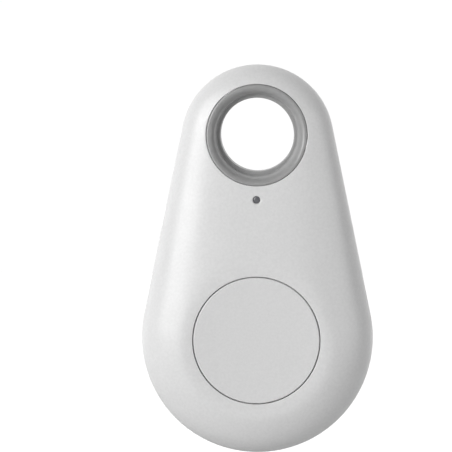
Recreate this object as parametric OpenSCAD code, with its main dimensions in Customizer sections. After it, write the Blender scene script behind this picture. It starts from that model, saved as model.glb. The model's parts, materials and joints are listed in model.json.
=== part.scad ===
// Key tracker tag: a pebble-shaped case with a lanyard hole at the narrow end and a round
// press button at the wide end, over a circuit board, a buzzer and a coin cell.
// Millimetres. The tag stands upright: +Z up, front towards -Y, +X to the right.
// The origin is the centre of the lanyard hole, at the plane where the two shells meet.
// Each sub-part is drawn lying face up: x right, y up the tag, z towards the front.

/* [Case outline] */
// Radius of the wide end, seen from the front
body_r = 15.5; // [15.4:0.1:16.2]
// Radius of the narrow end
neck_r = 10.2; // [10.2:0.1:10.8]
// Distance between the centres of the two ends
end_pitch = 26.3; // [26.3:0.1:28]
// Height of the lanyard hole's centre above the narrow end's centre
hole_rise = 0.9; // [0.7:0.1:1]

/* [Case section] */
// Half thickness of the wide end, before the rear is flattened
body_half = 5.9; // [5.9:0.1:6.2]
// Depth of the flat on the rear
rest_flat = 0.3; // [0.2:0.05:0.4]
// Wall thickness
wall = 1.1; // [1:0.05:1.15]
// How far the face stays flat before it rolls over to the edge
face_power = 3.4; // [3.2:0.1:3.6]
// How full the edge is where the shells meet
edge_power = 2.1; // [2:0.1:2.2]

/* [Lanyard ring] */
// Radius of the straight bore that a lanyard or split ring passes through
bore_r = 4.9; // [4.6:0.1:5]
// Length of the straight bore
bore_length = 3.5; // [3:0.1:3.6]
// Outer radius of the ring liner
liner_r = 6.7; // [6.6:0.05:6.75]
// Radius of the liner's funnel at its mouth
mouth_r = 6.4; // [6.2:0.05:6.45]

/* [Button] */
// Radius of the button's hole in the front shell
button_hole_r = 8.5; // [8.2:0.1:8.7]
// Gap round the button
button_gap = 0.15; // [0.12:0.01:0.3]
// Distance the button travels
button_travel = 0.25; // [0.15:0.05:0.25]
// Radius of the shallow hollow that the button's face lies in
dish_r = 140; // [120:5:170]
// Height of the bottom of the hollow above the parting plane
dish_floor = 4.8; // [4.75:0.05:4.9]

/* [Inside] */
// Thickness of the circuit board
board_t = 0.8; // [0.6:0.1:0.8]
// Radius of the coin cell
cell_r = 10; // [9.9:0.05:10]
// Thickness of the coin cell
cell_t = 3.2; // [3:0.1:3.2]
// Distance of the indicator below the lanyard hole
led_drop = 8.55; // [8.5:0.05:8.6]

/* [Hidden] */

// Heights of the two ends' centres, measured from the lanyard hole
neck_y = -hole_rise;
body_y = neck_y - end_pitch;
neck_half = body_half * neck_r / body_r;

// The case's slices, and the sides of the circles in them
dome_slices = 7;
dome_last_angle = 86;
dome_sides = 36;
outline_sides = 36;
$fn = 64;

// Tongue of the rear shell and the rebate that takes it
tongue_inset = 0.7;
tongue_h = 0.7;
rebate_inset = 0.6;
rebate_h = 0.8;

// Tube of each shell round the ring liner, with its top tilted along the case
liner_gap = 0.04;
tube_r = liner_r + liner_gap;
tube_wall = 0.8;
tube_top = 2.85;
tube_tilt = 5.6;

// Guide of the button, inside the front shell
flange_r = 9.15;
flange_top = 3.85;
flange_t = 0.55;
guide_r = flange_r + 0.2;
guide_wall = 0.65;
guide_low = 2.6;
guide_high = 4.5;
stop_gap = 0.05;

// Circuit board, from its rear face to its front face
board_low = -0.1;
board_top = board_low + board_t;
board_r = 13.4;
board_neck_r = 8;
board_clear_r = 7.75;
board_edge_y = -5.2;

// Posts that the board hangs on: x, y and the height that reaches into the wall
post_spots = [[8, -15.5, 3.7], [-8, -15.5, 3.7], [0, body_y - 12.2, 3.5]];
post_r = 1.1;
post_pin_r = 0.6;
post_hole_r = 0.7;

// Coin cell, from its rear face to its front face
cell_top = -0.6;
cell_low = cell_top - cell_t;
can_t = 0.25;
can_lip = 0.25;
holder_r = cell_r + 1.2;
holder_gap = 0.15;
holder_low = -3;
holder_pin_x = cell_r + 0.65;

// Buzzer
buzzer_side = 7.5;
buzzer_h = 2.5;
buzzer_y = -13.25;
buzzer_wall = 0.4;
buzzer_well_r = 3.3;

// Push switch under the button
switch_side = 5.2;
switch_h = 1.05;
switch_floor = 0.3;
well_r = 1.9;
dome_rise = 0.18;
plunger_r = 1.1;
plunger_top = board_top + 1.65;
post_gap = 0.02;

case_white = [0.88, 0.88, 0.89];
button_white = [0.86, 0.86, 0.87];
liner_grey = [0.62, 0.62, 0.64];
lens_grey = [0.25, 0.25, 0.27];
board_green = [0.05, 0.32, 0.18];
black_plastic = [0.08, 0.08, 0.09];
ivory_plastic = [0.78, 0.75, 0.66];
bright_steel = [0.75, 0.76, 0.78];
spring_brass = [0.8, 0.68, 0.4];
pad_gold = [0.85, 0.66, 0.3];
coil_copper = [0.72, 0.4, 0.2];
ferrite_grey = [0.3, 0.3, 0.32];
ceramic_tan = [0.62, 0.5, 0.36];
separator_white = [0.93, 0.93, 0.9];

// Stands a sub-part that lies face up on its end, with its front towards -Y
module upright() {
    rotate([90, 0, 0]) children();
}

// Share of the full radius, and of the full height, at an angle round the case's section
function share_r(angle) = pow(cos(angle), 2 / face_power);
function share_h(angle) = pow(sin(angle), 2 / edge_power);

// Half section of one end, from z = -skirt up to its full height
function half_section(r, h, skirt) = concat(
    [[0, -skirt], [r, -skirt]],
    [
        for (i = [skirt > 0 ? 0 : 1 : dome_slices])
            let (angle = dome_last_angle * i / dome_slices)
            [r * share_r(angle), h * share_h(angle)]
    ],
    [[0, h * share_h(dome_last_angle)]]
);

// Round dome at one end
module end_dome(y, r, h, skirt) {
    translate([0, y, 0]) rotate_extrude($fn = dome_sides) polygon(half_section(r, h, skirt));
}

// Smooth solid over both ends, brought in all round
module dome(inset, skirt = 0) {
    hull() {
        end_dome(body_y, body_r - inset, body_half - inset, skirt);
        end_dome(neck_y, neck_r - inset, neck_half - inset, skirt);
    }
}

// Outline of the case seen from the front, brought in all round
module outline(inset) {
    hull() {
        translate([0, body_y]) circle(r = body_r - inset, $fn = outline_sides);
        translate([0, neck_y]) circle(r = neck_r - inset, $fn = outline_sides);
    }
}

// Tube round the ring liner, its top cut at a tilt so that it ends inside the wall
module liner_tube() {
    difference() {
        cylinder(r = tube_r + tube_wall, h = 2 * tube_top);
        translate([0, 0, tube_top]) rotate([-tube_tilt, 0, 0])
            translate([-body_r, -body_r, 0]) cube([2 * body_r, 2 * body_r, 2 * tube_top]);
    }
}

// Ball whose underside is the shallow hollow of the face
module dish_ball() {
    translate([0, body_y, dish_floor + dish_r]) sphere(r = dish_r, $fn = 240);
}

// Collar that guides the button, with the step that its flange stops against
module button_guide() {
    translate([0, body_y, 0]) rotate_extrude() polygon([
        [button_hole_r, flange_top + stop_gap],
        [guide_r, flange_top + stop_gap],
        [guide_r, guide_low],
        [guide_r + guide_wall, guide_low],
        [guide_r + guide_wall, guide_high],
        [button_hole_r, guide_high]
    ]);
}

module board_posts() {
    for (spot = post_spots) {
        translate([spot[0], spot[1], board_top]) cylinder(r = post_r, h = spot[2] - board_top);
        translate([spot[0], spot[1], board_low - stop_gap])
            cylinder(r = post_pin_r, h = board_t + 4 * stop_gap);
    }
}

module front_shell() {
    color(case_white) upright() difference() {
        union() {
            difference() {
                dome(0);
                dome(wall, 1);
                translate([0, 0, -1]) linear_extrude(rebate_h + 1) outline(rebate_inset);
            }
            liner_tube();
            button_guide();
            board_posts();
        }
        dish_ball();
        translate([0, 0, -1]) cylinder(r = tube_r, h = 2 * body_half);
        translate([0, body_y, 0]) cylinder(r = button_hole_r, h = 2 * body_half);
        translate([0, -led_drop, 0]) cylinder(r = 0.5, h = 2 * body_half);
    }
}

module rear_shell() {
    rib_r = 6.8;
    color(case_white) upright() mirror([0, 0, 1]) difference() {
        union() {
            difference() {
                union() {
                    dome(0);
                    translate([0, 0, -tongue_h]) linear_extrude(tongue_h + 0.3) outline(tongue_inset);
                }
                dome(wall, 1);
            }
            liner_tube();
            // Rib that keeps the coin cell down
            translate([0, body_y, -cell_low + stop_gap]) difference() {
                cylinder(r = rib_r, h = 1.2);
                translate([0, 0, -1]) cylinder(r = rib_r - 0.8, h = 3);
            }
        }
        translate([0, 0, -1]) cylinder(r = tube_r, h = 2 * body_half);
        translate([-body_r, body_y - body_r, body_half - rest_flat])
            cube([2 * body_r, 3 * body_r, body_half]);
    }
}

// Turned section of a ring liner: a straight bore, a narrow ledge and a hollow funnel
module liner_turning(low, hole_r, land_top) {
    ledge = 0.45;
    step_h = 0.2;
    foot_r = 5.45;
    funnel_top = 3.3;
    funnel = [
        for (angle = [0 : 15 : 90]) [
            foot_r + (mouth_r - foot_r) * sin(angle),
            funnel_top - (funnel_top - land_top - step_h) * cos(angle)
        ]
    ];
    rotate_extrude() polygon(concat(
        [[liner_r, low], [hole_r, low], [hole_r, land_top], [hole_r + ledge, land_top]],
        [[hole_r + ledge, land_top + step_h]],
        funnel,
        [[mouth_r, body_half], [liner_r, body_half]]
    ));
}

module ring_liner_front() {
    half_bore = bore_length / 2;
    color(liner_grey) upright() intersection() {
        liner_turning(-half_bore, bore_r, half_bore);
        dome(0, half_bore);
    }
}

module ring_liner_rear() {
    low = bore_length / 2 + stop_gap;
    color(liner_grey) upright() mirror([0, 0, 1]) intersection() {
        liner_turning(low, bore_r + 0.1, low + 0.2);
        dome(0);
    }
}

module button_cap() {
    cap_r = button_hole_r - button_gap;
    skirt_r = 7.4;
    plate_low = 3.9;
    nib_r = 1.2;
    nib_low = plunger_top + post_gap;
    color(button_white) upright() translate([0, body_y, 0]) {
        difference() {
            union() {
                translate([0, 0, flange_top - flange_t]) cylinder(r = cap_r, h = body_half);
                translate([0, 0, flange_top - flange_t]) cylinder(r = flange_r, h = flange_t);
            }
            translate([0, 0, plate_low - 2]) cylinder(r = skirt_r, h = 2);
            translate([0, -body_y, 0]) dish_ball();
        }
        translate([0, 0, nib_low]) cylinder(r = nib_r, h = plate_low - nib_low + 0.2);
        // Cross ribs that stiffen the face
        for (turn = [0, 90])
            rotate([0, 0, turn]) translate([-skirt_r - 0.1, -0.3, flange_top - flange_t])
                cube([2 * skirt_r + 0.2, 0.6, plate_low - flange_top + flange_t + 0.1]);
    }
}

// Clear pipe that takes the indicator's light through the front wall
module light_pipe() {
    color(lens_grey) upright() translate([0, -led_drop, 0]) {
        translate([0, 0, 1.4]) cylinder(r = 0.48, h = 2.8);
        translate([0, 0, 2.8]) cylinder(r = 0.85, h = 0.4);
    }
}

module circuit_board() {
    hole_h = board_t + 2;
    color(board_green) upright() translate([0, 0, board_low]) difference() {
        linear_extrude(board_t) hull() {
            translate([0, body_y]) circle(r = board_r, $fn = outline_sides);
            translate([0, neck_y]) circle(r = board_neck_r, $fn = outline_sides);
        }
        translate([0, 0, -1]) cylinder(r = board_clear_r, h = hole_h);
        translate([-body_r, board_edge_y, -1]) cube([2 * body_r, body_r, hole_h]);
        for (spot = post_spots)
            translate([spot[0], spot[1], -1]) cylinder(r = post_hole_r, h = hole_h);
        for (side = [-1, 1])
            translate([side * holder_pin_x, body_y, -1]) cylinder(r = 0.5, h = hole_h);
    }
}

// A small block soldered to the front of the board
module on_board(x, y, size) {
    translate([x - size[0] / 2, y - size[1] / 2, board_top]) cube(size);
}

// Meander of bare copper beside the lanyard hole
module antenna_trace() {
    legs = 5;
    leg_pitch = 0.9;
    leg_h = 2.4;
    track = 0.35;
    foil = 0.05;
    start = [-8.1, -11.6];
    color(coil_copper) upright() union() {
        for (i = [0 : legs - 1])
            translate([start[0] + i * leg_pitch, start[1], board_top]) cube([track, leg_h, foil]);
        for (i = [0 : legs - 2])
            translate([start[0] + i * leg_pitch, start[1] + (i % 2) * (leg_h - track), board_top])
                cube([leg_pitch + track, track, foil]);
    }
}

module radio_chip() {
    color(black_plastic) upright() on_board(-6.6, -22, [5, 5, 0.85]);
}

module crystal() {
    color(bright_steel) upright() on_board(-7.6, -27.4, [2.5, 3.2, 0.7]);
}

module indicator_led() {
    color(separator_white) upright() {
        on_board(0, -led_drop, [1.6, 0.8, 0.25]);
        translate([-0.55, -led_drop - 0.4, board_top + 0.25]) cube([1.1, 0.8, 0.3]);
    }
}

// Small three-legged transistor that drives the buzzer
module buzzer_driver() {
    spot = [6.4, -20.2];
    color(black_plastic) upright() {
        translate([0, 0, 0.1]) on_board(spot[0], spot[1], [2.9, 1.3, 0.9]);
        for (leg = [[-0.95, -0.9], [0.95, -0.9], [0, 0.9]])
            on_board(spot[0] + leg[0], spot[1] + leg[1], [0.4, 0.7, 0.2]);
    }
}

module chip_inductor() {
    color(ferrite_grey) upright() on_board(6.4, -24.4, [2.5, 2, 1]);
}

module chip_capacitors() {
    spots = [[-10.3, -21], [-10.3, -23], [-10.3, -25], [-4.6, -18.4], [-6.6, -18.4], [7.8, -28]];
    color(ceramic_tan) upright() for (spot = spots) on_board(spot[0], spot[1], [1, 0.5, 0.5]);
}

module chip_resistors() {
    spots = [[4.6, -8.6], [6.6, -8.6], [9.6, -22], [9.6, -24], [5.6, -31]];
    color(black_plastic) upright() for (spot = spots) on_board(spot[0], spot[1], [1, 0.5, 0.35]);
}

// Gold discs that the maker's test needles touch
module test_pads() {
    color(pad_gold) upright() for (i = [-2 : 2])
        translate([i * 2, -36, board_top]) cylinder(r = 0.6, h = 0.05);
}

module at_buzzer() {
    upright() translate([0, buzzer_y, board_top]) children();
}

module buzzer_housing() {
    color(black_plastic) at_buzzer() difference() {
        translate([-buzzer_side / 2, -buzzer_side / 2, 0])
            cube([buzzer_side, buzzer_side, buzzer_h - 0.2]);
        translate([0, 0, buzzer_wall]) cylinder(r = buzzer_well_r, h = buzzer_h);
        // Sound port through the side wall
        translate([-1, -buzzer_side, 1.4]) cube([2, buzzer_side, buzzer_h]);
    }
}

module buzzer_lid() {
    color(black_plastic) at_buzzer() difference() {
        translate([-buzzer_side / 2, -buzzer_side / 2, buzzer_h - 0.2])
            cube([buzzer_side, buzzer_side, 0.2]);
        cylinder(r = 0.8, h = 2 * buzzer_h);
    }
}

module buzzer_diaphragm() {
    color(bright_steel) at_buzzer() translate([0, 0, 2.02]) cylinder(r = 3.2, h = 0.08);
}

module buzzer_yoke() {
    color(bright_steel) at_buzzer() translate([0, 0, buzzer_wall]) {
        cylinder(r = 3.2, h = 0.3);
        cylinder(r = 0.6, h = 1.3);
    }
}

module buzzer_coil() {
    color(coil_copper) at_buzzer() translate([0, 0, buzzer_wall + 0.32]) difference() {
        cylinder(r = 1.7, h = 0.95);
        translate([0, 0, -1]) cylinder(r = 0.62, h = 3);
    }
}

module buzzer_magnet() {
    color(ferrite_grey) at_buzzer() translate([0, 0, buzzer_wall + 0.32]) difference() {
        cylinder(r = 3.15, h = 1);
        translate([0, 0, -1]) cylinder(r = 2.2, h = 3);
    }
}

// A point on the snap dome's section, at an angle from its axis
function dome_point(r, ball_r, angle) = [r * sin(angle), dome_rise - ball_r + r * cos(angle)];

module at_switch() {
    upright() translate([0, body_y, board_top]) children();
}

module switch_base() {
    color(ivory_plastic) at_switch() difference() {
        translate([-switch_side / 2, -switch_side / 2, 0])
            cube([switch_side, switch_side, switch_h]);
        translate([0, 0, switch_floor]) cylinder(r = well_r, h = switch_h);
    }
}

// Snap dome: a thin sprung cap that closes the contacts
module switch_dome() {
    leaf = 0.06;
    rim_r = 1.7;
    ball_r = (rim_r * rim_r + dome_rise * dome_rise) / (2 * dome_rise);
    half_angle = asin(rim_r / ball_r);
    under = [for (share = [0 : 0.2 : 1]) dome_point(ball_r - leaf, ball_r, half_angle * share)];
    over = [for (share = [1 : -0.2 : 0]) dome_point(ball_r, ball_r, half_angle * share)];
    color(bright_steel) at_switch() translate([0, 0, switch_floor + leaf])
        rotate_extrude() polygon(concat(under, over));
}

module switch_plunger() {
    low = switch_floor + dome_rise + button_travel + 0.09;
    color(black_plastic) at_switch() {
        translate([0, 0, low]) cylinder(r = plunger_r, h = plunger_top - board_top - low);
        translate([0, 0, low]) cylinder(r = 1.6, h = switch_h - low - 0.02);
    }
}

module switch_cover() {
    plate = 0.15;
    color(bright_steel) at_switch() difference() {
        union() {
            translate([-switch_side / 2, -switch_side / 2 + 0.3, switch_h])
                cube([switch_side, switch_side - 0.6, plate]);
            // Two ears folded down the sides
            for (side = [-1, 1])
                translate([side * (switch_side / 2 + plate / 2) - plate / 2, -1.2, 0.1])
                    cube([plate, 2.4, switch_h + plate - 0.1]);
        }
        cylinder(r = plunger_r + 0.1, h = 2 * switch_h);
    }
}

module battery_holder() {
    notch = 4.6;
    floor_r = 8;
    floor_t = 0.3;
    color(black_plastic) upright() translate([0, body_y, 0]) {
        difference() {
            translate([0, 0, holder_low]) cylinder(r = holder_r, h = board_low - holder_low);
            translate([0, 0, holder_low - 1])
                cylinder(r = cell_r + holder_gap, h = board_low - floor_t - holder_low + 1);
            translate([0, 0, -body_half]) cylinder(r = floor_r, h = 2 * body_half);
            translate([-notch / 2, -holder_r - 1, holder_low - 1])
                cube([notch, holder_r - floor_r + 2, body_half]);
        }
        for (side = [-1, 1])
            translate([side * holder_pin_x, 0, board_low - 0.1]) cylinder(r = 0.4, h = board_t + 0.3);
    }
}

// Sprung leaf that touches the cell's cap
module negative_contact() {
    leaf = 0.15;
    low = board_low;
    tip = cell_top + 0.03;
    color(spring_brass) upright() translate([-1.5, body_y, 0]) rotate([90, 0, 90])
        linear_extrude(3) polygon([
            [-3, low],
            [-1.2, low],
            [2.6, tip + leaf],
            [2.6, tip],
            [-1.2, low - leaf],
            [-3, low - leaf]
        ]);
}

// Bent strip that touches the side of the cell's can
module positive_contact() {
    strip = 0.2;
    face = -cell_r - 0.08;
    foot = face - 1.2;
    color(spring_brass) upright() translate([-2, body_y, 0]) rotate([90, 0, 90])
        linear_extrude(4) polygon([
            [face, board_low],
            [foot, board_low],
            [foot, board_low - strip],
            [face - strip, board_low - strip],
            [face - strip, holder_low],
            [face, holder_low]
        ]);
}

module at_cell() {
    upright() translate([0, body_y, cell_low]) children();
}

module battery_can() {
    color(bright_steel) at_cell() rotate_extrude() polygon([
        [0, 0],
        [cell_r, 0],
        [cell_r, cell_t - can_lip],
        [cell_r - can_t, cell_t - can_lip],
        [cell_r - can_t, can_t],
        [0, can_t]
    ]);
}

module battery_gasket() {
    color(black_plastic) at_cell() translate([0, 0, can_t]) difference() {
        cylinder(r = cell_r - can_t, h = cell_t - can_t - can_lip);
        translate([0, 0, -1]) cylinder(r = cell_r - 1, h = cell_t + 1);
    }
}

module battery_cathode() {
    color(black_plastic) at_cell() translate([0, 0, can_t]) cylinder(r = 7.9, h = 1.6);
}

module battery_separator() {
    color(separator_white) at_cell() translate([0, 0, 1.88]) cylinder(r = 8.6, h = 0.1);
}

module battery_anode() {
    color(ferrite_grey) at_cell() translate([0, 0, 2]) cylinder(r = 8, h = cell_t - can_t - 2);
}

module battery_cap() {
    cap_r = cell_r - 1;
    skirt_low = 0.9;
    color(bright_steel) at_cell() rotate_extrude() polygon([
        [0, cell_t],
        [cap_r - 0.4, cell_t],
        [cap_r, cell_t - 0.4],
        [cap_r, skirt_low],
        [cap_r - can_t, skirt_low],
        [cap_r - can_t, cell_t - 0.5],
        [cap_r - 0.5, cell_t - can_t],
        [0, cell_t - can_t]
    ]);
}

front_shell();
rear_shell();
ring_liner_front();
ring_liner_rear();
button_cap();
light_pipe();
circuit_board();
antenna_trace();
radio_chip();
crystal();
indicator_led();
buzzer_driver();
chip_inductor();
chip_capacitors();
chip_resistors();
test_pads();
buzzer_housing();
buzzer_lid();
buzzer_diaphragm();
buzzer_yoke();
buzzer_coil();
buzzer_magnet();
switch_base();
switch_dome();
switch_plunger();
switch_cover();
battery_holder();
negative_contact();
positive_contact();
battery_can();
battery_gasket();
battery_cathode();
battery_separator();
battery_anode();
battery_cap();
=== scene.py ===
"""Key tracker tag: satin white case shells, grey ring liner, dished press button and what they hold."""

import json
import math

import bmesh
import bpy
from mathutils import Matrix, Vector


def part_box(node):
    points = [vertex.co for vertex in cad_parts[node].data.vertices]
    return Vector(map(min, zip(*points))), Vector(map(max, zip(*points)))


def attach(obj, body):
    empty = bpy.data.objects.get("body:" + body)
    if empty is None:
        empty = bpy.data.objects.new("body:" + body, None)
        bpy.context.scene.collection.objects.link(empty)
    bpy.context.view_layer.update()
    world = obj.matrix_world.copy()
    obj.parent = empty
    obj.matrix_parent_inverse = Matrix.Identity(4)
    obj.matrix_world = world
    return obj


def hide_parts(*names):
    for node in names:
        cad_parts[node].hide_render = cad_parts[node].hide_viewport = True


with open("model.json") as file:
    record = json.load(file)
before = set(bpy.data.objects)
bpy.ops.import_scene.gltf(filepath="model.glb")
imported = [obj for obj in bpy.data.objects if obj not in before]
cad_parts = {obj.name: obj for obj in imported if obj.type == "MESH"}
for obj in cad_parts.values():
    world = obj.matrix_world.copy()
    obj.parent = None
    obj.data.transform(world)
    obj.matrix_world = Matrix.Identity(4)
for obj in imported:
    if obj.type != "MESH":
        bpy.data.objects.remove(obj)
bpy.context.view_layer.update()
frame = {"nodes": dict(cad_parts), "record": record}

MM = 0.001

# ---------------------------------------------------------------------------------------------
# Driving dimensions, in metres: x across, z up the tag, out away from the plane between shells
# ---------------------------------------------------------------------------------------------

shell_low, shell_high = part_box("front_shell")
_, cover_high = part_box("rear_shell")

HOLE_RISE = 0.9 * MM
BODY_R = shell_high.x
NECK_R = shell_high.z + HOLE_RISE
BODY_Z = shell_low.z + BODY_R
NECK_Z = -HOLE_RISE
PITCH = NECK_Z - BODY_Z
REST_FLAT = 0.3 * MM
REST_SOFT = 0.1 * MM
BODY_HALF = cover_high.y + REST_FLAT
NECK_HALF = BODY_HALF * NECK_R / BODY_R
WALL = 1.1 * MM

# Exponents of the dome: the first keeps its face flat, the second rounds its edge
FACE_POWER = 3.4
EDGE_POWER = 2.1

BUTTON_HOLE_R = 8.5 * MM
BUTTON_GAP = 0.15 * MM
DISH_R = 140 * MM
DISH_FLOOR = 4.8 * MM
DISH_SOFT = 0.22 * MM

RING_HOLE_R = 6.74 * MM
TUBE_R = RING_HOLE_R + 0.8 * MM
LIP = 0.08 * MM
SEAM = 0.07 * MM

LINER_R = 6.7 * MM
MOUTH_R = 6.38 * MM
BORE_R = 4.9 * MM
THROAT_R = BORE_R + 0.1 * MM
FRONT_LAND = 1.75 * MM
REAR_LAND = 2.0 * MM
REAR_LINER_LOW = 1.8 * MM

INDICATOR_Z = -8.55 * MM

# Height across the waist where the mesh round the ring meets the mesh round the button
WAIST_Z = -12.6 * MM
WAIST_POINTS = 72
LOW_POINTS = 200
HIGH_POINTS = 140
ROWS = 40
CAVE_ROWS = 16
LINER_POINTS = 224
CAP_STEPS = 240
SMALL_STEPS = 48

# Vertices nearer than this are one, and an edge that bends by more degrees than this is sharp
MERGE = 1e-7
SHARP = 30


# ---------------------------------------------------------------------------------------------
# Shape of the case
# ---------------------------------------------------------------------------------------------


def soft_min(a, b, soft):
    """Smaller of two heights, with the corner between them rounded over about `soft`."""
    near = max(soft - abs(a - b), 0) / soft
    return min(a, b) - near * near * soft / 4


def share(x, z, inset=0.0):
    """How far out a point is: 0 on the case's spine, 1 on its outline brought in by inset."""
    big, small = BODY_R - inset, NECK_R - inset
    taper = (big - small) / PITCH
    up = z - BODY_Z
    reach = math.hypot(x, up)
    if up <= taper * reach * reach / big:
        return reach / big
    high = z - NECK_Z
    reach = math.hypot(x, high)
    if high >= taper * reach * reach / small:
        return reach / small
    return abs(x) / math.hypot(big - taper * up, taper * x)


def half_depth(z):
    """Half thickness of the case along its spine, easing from the neck's to the body's."""
    soft = 0.3
    along = (NECK_Z - z) / PITCH
    along = soft_min(along, 1, soft)
    along = -soft_min(-along, 0, soft)
    return NECK_HALF + (BODY_HALF - NECK_HALF) * along


def dome(x, z, inset=0.0):
    """Height of the plain case above the parting plane."""
    out = min(share(x, z, inset), 1)
    return (half_depth(z) - inset) * (1 - out**FACE_POWER) ** (1 / EDGE_POWER)


def dish(x, z):
    """Height of the shallow hollow that the button's face lies in."""
    return DISH_FLOOR + (x * x + (z - BODY_Z) ** 2) / (2 * DISH_R)


def front(x, z):
    """Height of the front face."""
    return soft_min(dome(x, z), dish(x, z), DISH_SOFT)


def rear(x, z):
    """Height of the rear face, flat where the tag rests."""
    return soft_min(dome(x, z), BODY_HALF - REST_FLAT, REST_SOFT)


def inside(x, z):
    """Height of the cavity."""
    return dome(x, z, WALL)


def edge_point(centre_z, angle, inset):
    """The point on the outline, brought in by inset, that lies at an angle from a centre."""
    halvings = 44
    near, far = 0.0, 2 * PITCH
    for _ in range(halvings):
        middle = (near + far) / 2
        spot = (middle * math.cos(angle), centre_z + middle * math.sin(angle))
        if share(*spot, inset) < 1:
            near = middle
        else:
            far = middle
    return (near * math.cos(angle), centre_z + near * math.sin(angle))


def targets(centre_z, points, inset=0.0):
    """Points along the waist, left to right, then round the outline back to the left."""
    taper = (BODY_R - NECK_R) / PITCH
    half = (BODY_R - inset - taper * (WAIST_Z - BODY_Z)) / math.sqrt(1 - taper * taper)
    waist = [(half * (2 * i / (WAIST_POINTS - 1) - 1), WAIST_Z) for i in range(WAIST_POINTS)]
    start = math.atan2(WAIST_Z - centre_z, half)
    turn = -(math.pi + 2 * start) if centre_z < WAIST_Z else math.pi - 2 * start
    angles = [start + turn * i / (points + 1) for i in range(1, points + 1)]
    return waist + [edge_point(centre_z, angle, inset) for angle in angles]


# ---------------------------------------------------------------------------------------------
# Mesh helpers
# ---------------------------------------------------------------------------------------------


def circle_loop(bm, count, places):
    """A closed loop of vertices at the given places."""
    loop = bmesh.ops.create_circle(bm, cap_ends=False, radius=1, segments=count)["verts"]
    for vert, place in zip(loop, places):
        vert.co = place
    return loop


def next_loop(bm, loop, places, closed=True):
    """Extrudes a loop, or an open chain, and puts its new vertices at the given places."""
    pairs = list(zip(loop, loop[1:]))
    if closed:
        pairs.append((loop[-1], loop[0]))
    edges = [bm.edges.get(pair) for pair in pairs]
    made = bmesh.ops.extrude_edge_only(bm, edges=edges)["geom"]
    fresh = {item for item in made if isinstance(item, bmesh.types.BMVert)}
    new = []
    for vert, place in zip(loop, places):
        for edge in vert.link_edges:
            other = edge.other_vert(vert)
            if other in fresh:
                new.append(other)
                break
    for vert, place in zip(new, places):
        vert.co = place
    return new


def meet(bm, loop, other, closed=True):
    """Extrudes a loop onto another one, with which it is merged when the piece is finished."""
    next_loop(bm, loop, [vert.co.copy() for vert in other], closed)


def closed_mesh(name, bm):
    """Closes the seams, points the faces outwards and makes the mesh."""
    bmesh.ops.remove_doubles(bm, verts=bm.verts, dist=MERGE)
    bmesh.ops.recalc_face_normals(bm, faces=bm.faces)
    mesh = bpy.data.meshes.new(name)
    bm.to_mesh(mesh)
    bm.free()
    return mesh


def finish_piece(name, bm, material, body, nodes, sharp=SHARP):
    """Makes the piece, which rides a body and stands in for CAD nodes."""
    mesh = closed_mesh(name, bm)
    mesh.shade_smooth()
    mesh.set_sharp_from_angle(angle=math.radians(sharp))
    mesh.materials.append(material)
    piece = bpy.data.objects.new(name, mesh)
    bpy.context.collection.objects.link(piece)
    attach(piece, body)
    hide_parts(*nodes)
    return piece


def turned(bm, outline, centre_z, steps):
    """Spins a closed outline of (radius, out) points about an axis that runs front to rear."""
    made = [bm.verts.new((r, -out, centre_z)) for r, out in outline]
    edges = [bm.edges.new(pair) for pair in zip(made, made[1:] + made[:1])]
    bmesh.ops.spin(
        bm,
        geom=made + edges,
        cent=(0, 0, centre_z),
        axis=(0, 1, 0),
        angle=2 * math.pi,
        steps=steps,
        use_merge=True,
    )


def arc(centre, radius, start, end, steps):
    """Points (radius, out) along an arc, in degrees from the outward radius."""
    turns = [math.radians(start + (end - start) * i / steps) for i in range(steps + 1)]
    return [(centre[0] + radius * math.cos(a), centre[1] + radius * math.sin(a)) for a in turns]


# ---------------------------------------------------------------------------------------------
# Case shells
# ---------------------------------------------------------------------------------------------


def row_places(centre_z, ends, start_r, fraction, height, side):
    """One row of the skin between a round hole and the waist or the outline."""
    places = []
    widest = max(abs(x) for x, z in ends[:WAIST_POINTS])
    for i, (x, z) in enumerate(ends):
        # Rows crowd towards the outline, where the skin bends most, and not across the waist
        pack = EDGE_POWER
        if i < WAIST_POINTS:
            pack = 1 + (EDGE_POWER - 1) * (x / widest) ** 4
        reach = math.hypot(x, z - centre_z)
        step = start_r + (reach - start_r) * (1 - (1 - fraction) ** pack)
        spot_x, spot_z = x / reach * step, centre_z + (z - centre_z) / reach * step
        places.append((spot_x, side * height(spot_x, spot_z), spot_z))
    return places


def skin(bm, centre_z, ends, start_r, height, side, rows):
    """The case's surface from a round hole to the outline. Returns its inner and outer loops."""
    inner = circle_loop(bm, len(ends), row_places(centre_z, ends, start_r, 0, height, side))
    outer = inner
    for row in range(1, rows + 1):
        outer = next_loop(bm, outer, row_places(centre_z, ends, start_r, row / rows, height, side))
    return inner, outer


def skins(bm, low_r, high_r, height, side, inset=0.0, rows=ROWS):
    """A surface round the button and round the ring. Returns the two pairs of loops."""
    low_ends = targets(BODY_Z, LOW_POINTS, inset)
    high_ends = targets(0, HIGH_POINTS, inset)
    low = skin(bm, BODY_Z, low_ends, low_r, height, side, rows)
    high = skin(bm, 0, high_ends, high_r, height, side, rows)
    return low, high


def round_to(centre_z, loop, radius, out, side):
    """Places round a centre at the loop's own angles, at a radius and a height."""
    places = []
    for vert in loop:
        angle = math.atan2(vert.co.z - centre_z, vert.co.x)
        places.append((radius * math.cos(angle), side * out, centre_z + radius * math.sin(angle)))
    return places


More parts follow.
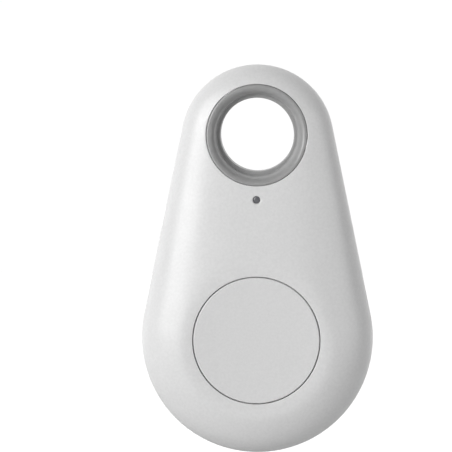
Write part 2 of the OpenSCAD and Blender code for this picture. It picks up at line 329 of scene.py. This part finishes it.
def lip_and_bore(bm, centre_z, loop, hole_r, steps, side):
    """Rolls the skin's edge over a small lip into a bore, then follows (radius, out) steps."""
    heights = [side * vert.co.y for vert in loop]
    for turn in (22.5, 45, 67.5, 90):
        bend = math.radians(turn)
        radius = hole_r + LIP * (1 - math.sin(bend))
        places = round_to(centre_z, loop, radius, 0, side)
        drop = LIP * (1 - math.cos(bend))
        places = [(x, side * (h - drop), z) for (x, _, z), h in zip(places, heights)]
        loop = next_loop(bm, loop, places)
    for radius, out in steps:
        loop = next_loop(bm, loop, round_to(centre_z, loop, radius, out, side))
    return loop


def ring_passage(bm, loop, cave_loop, side):
    """The hole that holds a ring liner, and the tube round it inside the case."""
    last = lip_and_bore(bm, 0, loop, RING_HOLE_R, [(RING_HOLE_R, 0), (TUBE_R, 0)], side)
    meet(bm, last, cave_loop)


def paired(low, high, low_cave, high_cave):
    """Centre, number of points, outer skin's edge and cavity's edge, for the two ends."""
    return [
        (BODY_Z, LOW_POINTS, low[1], low_cave[1]),
        (0, HIGH_POINTS, high[1], high_cave[1]),
    ]


def rim(bm, parts, side, steps):
    """Joins the outer skin's edge to the cavity's over (inset, out) steps."""
    for centre_z, points, outer, inner in parts:
        chain = outer[WAIST_POINTS - 1 :] + outer[:1]
        for inset, out in steps:
            ends = targets(centre_z, points, inset)
            ends = ends[WAIST_POINTS - 1 :] + ends[:1]
            chain = next_loop(bm, chain, [(x, side * out, z) for x, z in ends], closed=False)
        meet(bm, chain, inner[WAIST_POINTS - 1 :] + inner[:1], closed=False)


def front_shell(material):
    """Moulded front half: dished round the button, pierced for the ring and the indicator."""
    rebate = 0.8 * MM
    rebate_inset = 0.6 * MM
    guide_r = 9.35 * MM
    guide_out_r = guide_r + 0.65 * MM
    stop, guide_low = 3.9 * MM, 2.6 * MM
    side = -1

    def cavity(x, z):
        """Height of the cavity, cut back at its edge for the rear cover's tongue."""
        return max(inside(x, z), rebate)

    bm = bmesh.new()
    low, high = skins(bm, BUTTON_HOLE_R + LIP, RING_HOLE_R + LIP, front, side)
    low_cave, high_cave = skins(bm, guide_out_r, TUBE_R, cavity, side, WALL, CAVE_ROWS)
    steps = [
        (BUTTON_HOLE_R, stop),
        (guide_r, stop),
        (guide_r, guide_low),
        (guide_out_r, guide_low),
    ]
    last = lip_and_bore(bm, BODY_Z, low[0], BUTTON_HOLE_R, steps, side)
    meet(bm, last, low_cave[0])
    ring_passage(bm, high[0], high_cave[0], side)
    steps = [(SEAM, 0), (rebate_inset, 0), (rebate_inset, rebate)]
    rim(bm, paired(low, high, low_cave, high_cave), side, steps)
    shift_edge(bm, side)
    shell = finish_piece("front_shell_moulding", bm, material, "case", ["front_shell"])
    pierce(shell, indicator_cutter())
    return shell


def rear_shell(material):
    """Moulded rear cover: flat where it rests, with a tongue that enters the front half."""
    tongue_inset, tongue = 0.7 * MM, -0.7 * MM
    centre_r = 0.4 * MM
    side = 1
    bm = bmesh.new()
    low, high = skins(bm, centre_r, RING_HOLE_R + LIP, rear, side)
    low_cave, high_cave = skins(bm, centre_r, TUBE_R, inside, side, WALL, CAVE_ROWS)
    for loop in (low[0], low_cave[0]):
        edges = [bm.edges.get(pair) for pair in zip(loop, loop[1:] + loop[:1])]
        bmesh.ops.edgeloop_fill(bm, edges=edges)
    ring_passage(bm, high[0], high_cave[0], side)
    steps = [(SEAM, 0), (tongue_inset, 0), (tongue_inset, tongue), (WALL, tongue)]
    rim(bm, paired(low, high, low_cave, high_cave), side, steps)
    shift_edge(bm, side)
    return finish_piece("rear_cover_moulding", bm, material, "rear_cover", ["rear_shell"])


def shift_edge(bm, side):
    """Lifts the outermost edge off the parting plane, which leaves a fine seam groove."""
    nearly = 1 - 1e-4
    for vert in bm.verts:
        if abs(vert.co.y) < MERGE and share(vert.co.x, vert.co.z) > nearly:
            vert.co.y = side * SEAM


def indicator_cutter():
    """Small turned cutter for the indicator's hole, with a flared mouth."""
    hole_r, mouth_r = 0.5 * MM, 0.68 * MM
    low = 2 * MM
    top = front(0, INDICATOR_Z)
    high = top + 1 * MM
    outline = [
        (0, low),
        (hole_r, low),
        (hole_r, top - 0.12 * MM),
        (0.56 * MM, top - 0.04 * MM),
        (mouth_r, top + 0.03 * MM),
        (mouth_r, high),
        (0, high),
    ]
    bm = bmesh.new()
    turned(bm, outline, INDICATOR_Z, SMALL_STEPS)
    return closed_mesh("indicator_cutter", bm)


def pierce(piece, cutter_mesh):
    """Cuts a hole in a piece and keeps the result as its mesh."""
    cutter = bpy.data.objects.new("cutter", cutter_mesh)
    bpy.context.collection.objects.link(cutter)
    cut = piece.modifiers.new("cut", "BOOLEAN")
    cut.operation = "DIFFERENCE"
    cut.solver = "EXACT"
    cut.object = cutter
    graph = bpy.context.evaluated_depsgraph_get()
    mesh = bpy.data.meshes.new_from_object(piece.evaluated_get(graph))
    piece.modifiers.clear()
    piece.data = mesh
    mesh.set_sharp_from_angle(angle=math.radians(SHARP))
    bpy.data.objects.remove(cutter)


# ---------------------------------------------------------------------------------------------
# Ring liners, button and light pipe
# ---------------------------------------------------------------------------------------------


def ring_liner(name, node, body, material, height, side, low, bore_r, land):
    """Grey liner: a lip that follows the case, rolling over into a narrow ledge and the bore."""
    foot_r = 5.45 * MM
    ledge_r = 5.33 * MM
    step = 0.2 * MM
    proud = 0.04 * MM
    round_over = 0.14 * MM
    lip_middle = (LINER_R + MOUTH_R) / 2
    lip_half = (LINER_R - MOUTH_R) / 2
    roll_steps = 18

    # Each row gives a radius, a height above the parting plane and a share of the case's height
    rows = [(LINER_R, low, 0), (LINER_R, proud - lip_half, 1)]
    for radius, out in arc((lip_middle, proud - lip_half), lip_half, 20, 90, 5):
        rows.append((radius, out, 1))
    for i in range(1, roll_steps + 1):
        bend = math.radians(90 * i / roll_steps)
        keep = math.cos(bend)
        radius = lip_middle - (lip_middle - foot_r) * math.sin(bend)
        rows.append((radius, (land + step) * (1 - keep) + proud * keep, keep))
    rows.append((foot_r - 0.06 * MM, land + step - 0.02 * MM, 0))
    rows.append((ledge_r, land + step / 2, 0))
    rows.append((ledge_r - 0.01 * MM, land, 0))
    for radius, out in arc((bore_r + round_over, land - round_over), round_over, 90, 180, 4):
        rows.append((radius, out, 0))
    rows.append((bore_r, low + 0.02 * MM, 0))
    rows.append((bore_r + 0.03 * MM, low, 0))

    def places(row):
        """One row's places round the ring."""
        radius, out, keep = row
        spots = []
        for i in range(LINER_POINTS):
            angle = 2 * math.pi * i / LINER_POINTS
            x, z = radius * math.cos(angle), radius * math.sin(angle)
            reach = max(radius, MOUTH_R)
            lift = height(reach * math.cos(angle), reach * math.sin(angle)) if keep else 0
            spots.append((x, side * (out + keep * lift), z))
        return spots

    bm = bmesh.new()
    first = circle_loop(bm, LINER_POINTS, places(rows[0]))
    loop = first
    for row in rows[1:]:
        loop = next_loop(bm, loop, places(row))
    meet(bm, loop, first)
    return finish_piece(name, bm, material, body, [node], sharp=40)


def button_cap(material):
    """Round push button with a shallow hollow face, a soft edge, a flange and a centre nib."""
    cap_r = BUTTON_HOLE_R - BUTTON_GAP
    soft = 0.12 * MM
    draft, draft_depth = 0.11 * MM, 0.5 * MM
    rim_high = DISH_FLOOR + cap_r * cap_r / (2 * DISH_R)
    flange_r, flange_top, flange_low = 9.15 * MM, 3.85 * MM, 3.3 * MM
    inner_r, plate_low = 7.4 * MM, 3.9 * MM
    nib_r, nib_low = 1.2 * MM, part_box("button_cap")[1].y
    face_steps = 24
    outline = []
    for i in range(face_steps + 1):
        radius = (cap_r - soft) * i / face_steps
        outline.append((radius, DISH_FLOOR + radius * radius / (2 * DISH_R)))
    outline += arc((cap_r - soft, rim_high - soft), soft, 72, 0, 4)
    # The moulded side has a draft, so the gap round the cap narrows as it goes in
    outline += [
        (cap_r + draft, rim_high - draft_depth),
        (cap_r + draft, flange_top),
        (flange_r, flange_top),
        (flange_r, flange_low),
        (inner_r, flange_low),
        (inner_r, plate_low),
        (nib_r, plate_low),
        (nib_r, -nib_low),
        (0, -nib_low),
    ]
    bm = bmesh.new()
    turned(bm, outline, BODY_Z, CAP_STEPS)
    return finish_piece("button_cap_moulding", bm, material, "button", ["button_cap"])


def light_pipe(material):
    """Smoked rod that carries the indicator's light, its end slightly domed and set back."""
    top = front(0, INDICATOR_Z) - 0.12 * MM
    rod_r, rod_low = 0.48 * MM, 1.4 * MM
    collar_r, collar_top, collar_low = 0.85 * MM, 3.2 * MM, 2.8 * MM
    outline = [
        (0, top),
        (0.2 * MM, top - 0.01 * MM),
        (0.36 * MM, top - 0.04 * MM),
        (rod_r, top - 0.12 * MM),
        (rod_r, collar_top),
        (collar_r, collar_top),
        (collar_r, collar_low),
        (rod_r, collar_low),
        (rod_r, rod_low),
        (0, rod_low),
    ]
    bm = bmesh.new()
    turned(bm, outline, INDICATOR_Z, SMALL_STEPS)
    return finish_piece("indicator_light_pipe", bm, material, "case", ["light_pipe"])


# ---------------------------------------------------------------------------------------------
# Materials
# ---------------------------------------------------------------------------------------------


# Values between which most of a noise pattern lies
NOISE_LOW = 0.3
NOISE_HIGH = 0.7


def linear(hex_colour):
    """sRGB hex to linear, with alpha."""
    parts = [int(hex_colour[i : i + 2], 16) / 255 for i in (1, 3, 5)]
    return [c / 12.92 if c <= 0.04045 else ((c + 0.055) / 1.055) ** 2.4 for c in parts] + [1]


def add(tree, kind, settings=None, **links):
    """Adds a node, sets its inputs and properties, and links its inputs to other outputs."""
    node = tree.nodes.new(kind)
    for key, value in (settings or {}).items():
        if key in node.inputs:
            node.inputs[key].default_value = value
        else:
            setattr(node, key, value)
    for key, output in links.items():
        tree.links.new(output, node.inputs[key.replace("_", " ")])
    return node


def finish_of(name, colour, roughness, metallic=0.0, ior=1.5):
    """A material with its shader set to constants. Returns the material, tree, shader, place."""
    material = bpy.data.materials.new(name)
    material.use_nodes = True
    tree = material.node_tree
    shader = tree.nodes["Principled BSDF"]
    shader.inputs["Base Color"].default_value = linear(colour)
    shader.inputs["Roughness"].default_value = roughness
    shader.inputs["Metallic"].default_value = metallic
    shader.inputs["IOR"].default_value = ior
    place = add(tree, "ShaderNodeTexCoord").outputs["Object"]
    return material, tree, shader, place


def per_metre(size_mm):
    """Noise scale that gives features of about this size."""
    return 1 / (size_mm * MM)


def noise(tree, place, size_mm, detail):
    """Noise between 0 and 1 with features of about this size."""
    settings = {"Scale": per_metre(size_mm), "Detail": detail}
    return add(tree, "ShaderNodeTexNoise", settings, Vector=place).outputs["Fac"]


def relief(tree, shader, height, height_mm):
    """Bump from a pattern, its full height in real millimetres."""
    settings = {"Strength": 1.0, "Distance": height_mm * MM}
    bump = add(tree, "ShaderNodeBump", settings, Height=height)
    tree.links.new(bump.outputs["Normal"], shader.inputs["Normal"])


def grain(tree, shader, place, size_mm, height_mm, detail=2.0):
    """Fine surface grain as bump."""
    relief(tree, shader, noise(tree, place, size_mm, detail), height_mm)


def mottle(tree, shader, place, dark, light, size_mm, detail=3.0):
    """Slow change of colour over the surface between two close tones."""
    ramp = add(tree, "ShaderNodeValToRGB", Fac=noise(tree, place, size_mm, detail))
    ramp.color_ramp.elements[0].color = linear(dark)
    ramp.color_ramp.elements[1].color = linear(light)
    ramp.color_ramp.elements[0].position = NOISE_LOW
    ramp.color_ramp.elements[1].position = NOISE_HIGH
    tree.links.new(ramp.outputs["Color"], shader.inputs["Base Color"])


def uneven(tree, shader, place, low, high, size_mm):
    """Slow change of roughness, as where hands and moulds polish a surface."""
    settings = {"From Min": NOISE_LOW, "From Max": NOISE_HIGH, "To Min": low, "To Max": high}
    spread = add(tree, "ShaderNodeMapRange", settings, Value=noise(tree, place, size_mm, 2.0))
    tree.links.new(spread.outputs["Result"], shader.inputs["Roughness"])


def spark_grained_abs():
    """Silver-white ABS moulded in a spark-textured tool: satin, with a fine mottled grain."""
    material, tree, shader, place = finish_of("spark_grained_abs", "#DDDDDD", 0.35, ior=1.53)
    mottle(tree, shader, place, "#DADADA", "#E0E0E0", 0.35)
    uneven(tree, shader, place, 0.32, 0.38, 3.0)
    # The tool's grain is about 0.05 mm; it is drawn at 0.22 mm so that it shows
    grain(tree, shader, place, 0.22, 0.01)
    return material


def button_abs():
    """The same ABS from the button's own tool, a touch greyer and finer in grain."""
    material, tree, shader, place = finish_of("button_abs", "#DADADA", 0.44, ior=1.53)
    mottle(tree, shader, place, "#D8D8D8", "#DDDDDD", 0.3)
    uneven(tree, shader, place, 0.4, 0.47, 2.5)
    grain(tree, shader, place, 0.2, 0.008)
    return material


def grey_liner_abs():
    """Mid grey moulded ABS with a smoother, satin skin that rolls light round its lip."""
    material, tree, shader, place = finish_of("grey_liner_abs", "#9C9C9C", 0.3, ior=1.53)
    mottle(tree, shader, place, "#989898", "#A0A0A0", 0.6)
    uneven(tree, shader, place, 0.3, 0.38, 2.0)
    grain(tree, shader, place, 0.12, 0.002)
    return material


def smoked_polycarbonate():
    """Smoked polycarbonate rod, cut and polished: dark, with a clear reflection."""
    material, tree, shader, place = finish_of("smoked_polycarbonate", "#66666A", 0.2, ior=1.58)
    mottle(tree, shader, place, "#606064", "#6C6C70", 0.2)
    grain(tree, shader, place, 0.1, 0.001)
    return material


def solder_mask_board():
    """Glass-epoxy board: a hatched copper ground shows as a paler lattice under the green mask."""
    material, tree, shader, place = finish_of("solder_mask_board", "#0F5A33", 0.28, ior=1.52)
    turn = add(tree, "ShaderNodeMapping", {"Rotation": (math.pi / 2, 0, math.pi / 4)}, Vector=place)
    brick = add(
        tree,
        "ShaderNodeTexBrick",
        {
            "Scale": per_metre(4.0),
            "Brick Width": 0.25,
            "Row Height": 0.25,
            "Mortar Size": 0.035,
            "offset": 0,
            "Color1": linear("#0E5530"),
            "Color2": linear("#105C35"),
            "Mortar": linear("#2A7A48"),
        },
        Vector=turn.outputs["Vector"],
    )
    tree.links.new(brick.outputs["Color"], shader.inputs["Base Color"])
    weave = add(tree, "ShaderNodeTexWave", {"Scale": per_metre(6.0), "Distortion": 1.5}, Vector=place)
    relief(tree, shader, weave.outputs["Fac"], 0.01)
    return material


def moulded_dark(name, dark, light, roughness, size_mm, height_mm):
    """Dark moulded or sintered stock: an even grain and a slight change of tone."""
    material, tree, shader, place = finish_of(name, dark, roughness)
    mottle(tree, shader, place, dark, light, size_mm * 3)
    uneven(tree, shader, place, roughness - 0.06, roughness + 0.06, 1.5)
    grain(tree, shader, place, size_mm, height_mm)
    return material


def metal(name, dark, light, roughness, brush_mm, stretch):
    """Sheet metal: fine drawn lines along its rolling direction, over a slow change of tone."""
    material, tree, shader, place = finish_of(name, light, roughness, metallic=1.0)
    mottle(tree, shader, place, dark, light, 6, detail=1.0)
    drawn = add(tree, "ShaderNodeMapping", {"Scale": (1, 1, stretch)}, Vector=place)
    grain(tree, shader, drawn.outputs["Vector"], brush_mm, 0.0006, detail=1.0)
    uneven(tree, shader, drawn.outputs["Vector"], roughness - 0.02, roughness + 0.03, 0.4)
    return material


def wound_copper():
    """Enamelled copper wire wound in a coil: fine rings with a warm gloss."""
    material, tree, shader, place = finish_of("wound_copper", "#B5683A", 0.32, metallic=1.0)
    mottle(tree, shader, place, "#A65A30", "#C07444", 0.5)
    rings = add(
        tree,
        "ShaderNodeTexWave",
        {"wave_type": "BANDS", "bands_direction": "Y", "Scale": per_metre(1.2)},
        Vector=place,
    )
    relief(tree, shader, rings.outputs["Fac"], 0.02)
    return material


def separator_felt():
    """Non-woven separator: matt white with a fibrous surface."""
    material, tree, shader, place = finish_of("separator_felt", "#E6E5E0", 0.85)
    mottle(tree, shader, place, "#DEDDD7", "#ECEBE7", 0.4)
    grain(tree, shader, place, 0.15, 0.02, detail=4.0)
    return material


def indicator_resin():
    """Milky casting resin over the indicator's white base."""
    material, tree, shader, place = finish_of("indicator_resin", "#E9E6D2", 0.22, ior=1.54)
    mottle(tree, shader, place, "#E4E0C8", "#EFECDC", 0.4)
    grain(tree, shader, place, 0.2, 0.002)
    return material


case_abs = spark_grained_abs()
button_finish = button_abs()
liner_finish = grey_liner_abs()
lens_finish = smoked_polycarbonate()

# Finish of each CAD slot whose node shows as it is
CAD_FINISH = {
    "board_laminate": solder_mask_board(),
    "copper": wound_copper(),
    "chip_epoxy": moulded_dark("moulded_epoxy", "#1A1A1C", "#242427", 0.5, 0.06, 0.003),
    "ferrite": moulded_dark("sintered_ferrite", "#38383B", "#46464A", 0.6, 0.08, 0.006),
    "black_plastic": moulded_dark("black_nylon", "#1C1C1E", "#28282B", 0.45, 0.1, 0.004),
    "ivory_plastic": moulded_dark("ivory_nylon", "#C9C2A8", "#D3CDB5", 0.48, 0.1, 0.004),
    "capacitor_ceramic": moulded_dark("fired_ceramic", "#8F7350", "#A0835E", 0.5, 0.05, 0.003),
    "cell_paste": moulded_dark("pressed_powder", "#232324", "#2E2E30", 0.8, 0.08, 0.01),
    "nickel_steel": metal("nickel_plated_steel", "#C4C3C0", "#CAC9C6", 0.28, 0.12, 0.06),
    "cell_metal": metal("soft_grey_foil", "#8C8C90", "#9C9CA0", 0.45, 0.15, 0.3),
    "spring_brass": metal("rolled_spring_brass", "#C2A055", "#D0B068", 0.3, 0.1, 0.1),
    "gold_plate": metal("gold_flash", "#D2A24A", "#E0B25A", 0.24, 0.1, 1.0),
    "separator_paper": separator_felt(),
    "led_resin": indicator_resin(),
    "case_plastic": case_abs,
    "button_plastic": button_finish,
    "liner_plastic": liner_finish,
    "smoked_lens": lens_finish,
}

for entry in frame["record"]["subparts"]:
    node = frame["nodes"][entry["node"]]
    node.data.materials.clear()
    node.data.materials.append(CAD_FINISH[entry["material_slot"]])

# ---------------------------------------------------------------------------------------------
# Pieces
# ---------------------------------------------------------------------------------------------

front_shell(case_abs)
rear_shell(case_abs)
button_cap(button_finish)
light_pipe(lens_finish)
ring_liner(
    "ring_liner_front_moulding",
    "ring_liner_front",
    "case",
    liner_finish,
    height=front,
    side=-1,
    low=-FRONT_LAND,
    bore_r=BORE_R,
    land=FRONT_LAND,
)
ring_liner(
    "ring_liner_rear_moulding",
    "ring_liner_rear",
    "rear_cover",
    liner_finish,
    height=rear,
    side=1,
    low=REAR_LINER_LOW,
    bore_r=THROAT_R,
    land=REAR_LAND,
)

# ---------------------------------------------------------------------------------------------
# Floor, light and camera
# ---------------------------------------------------------------------------------------------

MIDDLE = Vector((0, 0, (shell_low.z + shell_high.z) / 2))

# The floor's painted glow, an emission with no lamp behind it, rises to its full strength between two
# distances behind the tag, in metres
FLOOR_HALF = 0.6
FLOOR_DROP = 25 * MM
FLOOR_PAINTED_GLOW = 0.8
GLOW_START = 0.02
GLOW_FULL = 0.18

# The white surround's strength before the tag and behind it, and where it goes from one to the
# other, from -1 straight ahead of the tag to 1 straight behind it
WORLD_FRONT = 0.09
WORLD_BACK = 1.02
TURN_START = -0.1
TURN_END = 0.5

# Name, turn and rise in degrees, size in metres and power in watts
SOFT_BOXES = [
    ("key_left", -46, 18, 0.3, 2.15),
    ("fill_right", 56, 6, 0.35, 0.72),
]
BOX_DISTANCE = 0.5

SENSOR_WIDTH = 36
CAMERA_DISTANCE = 0.42
VIEW_WIDTH = 60.5 * MM
CAMERA_TURN = 2.0
CAMERA_RISE = 3.8
AIM_X = -4.2 * MM
AIM_Z = -12.3 * MM


def pale_floor():
    """Wide pale floor a little below the tag, which hangs by its ring."""
    bm = bmesh.new()
    bmesh.ops.create_grid(bm, x_segments=1, y_segments=1, size=FLOOR_HALF)
    bmesh.ops.translate(bm, verts=bm.verts, vec=(0, 0, shell_low.z - FLOOR_DROP))
    mesh = bpy.data.meshes.new("pale_floor")
    bm.to_mesh(mesh)
    bm.free()
    # Opal acrylic with a painted glow: its emission, with no lamp behind it, rises behind the tag so
    # that it meets the white surround with no line
    material, tree, shader, place = finish_of("opal_acrylic_painted_glow", "#C4C4C4", 0.9)
    mottle(tree, shader, place, "#C0C0C0", "#C8C8C8", 40)
    shader.inputs["Emission Color"].default_value = linear("#FFFFFF")
    split = add(tree, "ShaderNodeSeparateXYZ", Vector=place)
    settings = {"From Min": GLOW_START, "From Max": GLOW_FULL, "To Min": 0, "To Max": FLOOR_PAINTED_GLOW}
    # Painted glow: emission strength grows with distance behind the tag
    glow = add(tree, "ShaderNodeMapRange", settings, Value=split.outputs["Y"])
    tree.links.new(glow.outputs["Result"], shader.inputs["Emission Strength"])
    mesh.materials.append(material)
    floor = bpy.data.objects.new("pale_floor", mesh)
    bpy.context.collection.objects.link(floor)


def around(turn, rise):
    """Direction from the tag: turn 0 is the front and 90 the right, rise is above the horizon."""
    turn, rise = math.radians(turn), math.radians(rise)
    return Vector((math.sin(turn) * math.cos(rise), -math.cos(turn) * math.cos(rise), math.sin(rise)))


def soft_box(name, turn, rise, size, power):
    """Square soft box facing the tag."""
    lamp = bpy.data.lights.new(name, "AREA")
    lamp.size = size
    lamp.energy = power
    light = bpy.data.objects.new(name, lamp)
    back = around(turn, rise)
    light.location = MIDDLE + back * BOX_DISTANCE
    light.rotation_euler = (-back).to_track_quat("-Z", "Y").to_euler()
    bpy.context.collection.objects.link(light)


def studio():
    """White surround, brighter behind the tag than in front of it, and the soft boxes."""
    world = bpy.data.worlds.new("white_studio")
    bpy.context.scene.world = world
    world.use_nodes = True
    tree = world.node_tree
    sky = tree.nodes["Background"]
    sky.inputs["Color"].default_value = (1, 1, 1, 1)
    way = add(tree, "ShaderNodeTexCoord").outputs["Generated"]
    split = add(tree, "ShaderNodeSeparateXYZ", Vector=way)
    settings = {
        "From Min": TURN_START,
        "From Max": TURN_END,
        "To Min": WORLD_FRONT,
        "To Max": WORLD_BACK,
    }
    level = add(tree, "ShaderNodeMapRange", settings, Value=split.outputs["Y"])
    level.interpolation_type = "SMOOTHSTEP"
    tree.links.new(level.outputs["Result"], sky.inputs["Strength"])
    for name, turn, rise, size, power in SOFT_BOXES:
        soft_box(name, turn, rise, size, power)
    bpy.context.scene.view_settings.view_transform = "Standard"


def camera():
    """Long lens, square to the front and a little above it, with the tag right of centre."""
    aim = Vector((AIM_X, 0, AIM_Z))
    back = around(CAMERA_TURN, CAMERA_RISE)
    lens = bpy.data.cameras.new("camera")
    lens.sensor_width = SENSOR_WIDTH
    lens.lens = lens.sensor_width * CAMERA_DISTANCE / VIEW_WIDTH
    lens.clip_start, lens.clip_end = 0.01, 10
    view = bpy.data.objects.new("camera", lens)
    pose = (-back).to_track_quat("-Z", "Y").to_matrix().to_4x4()
    pose.translation = aim + back * CAMERA_DISTANCE
    view.matrix_world = pose
    bpy.context.collection.objects.link(view)
    bpy.context.scene.camera = view


pale_floor()
studio()
camera()
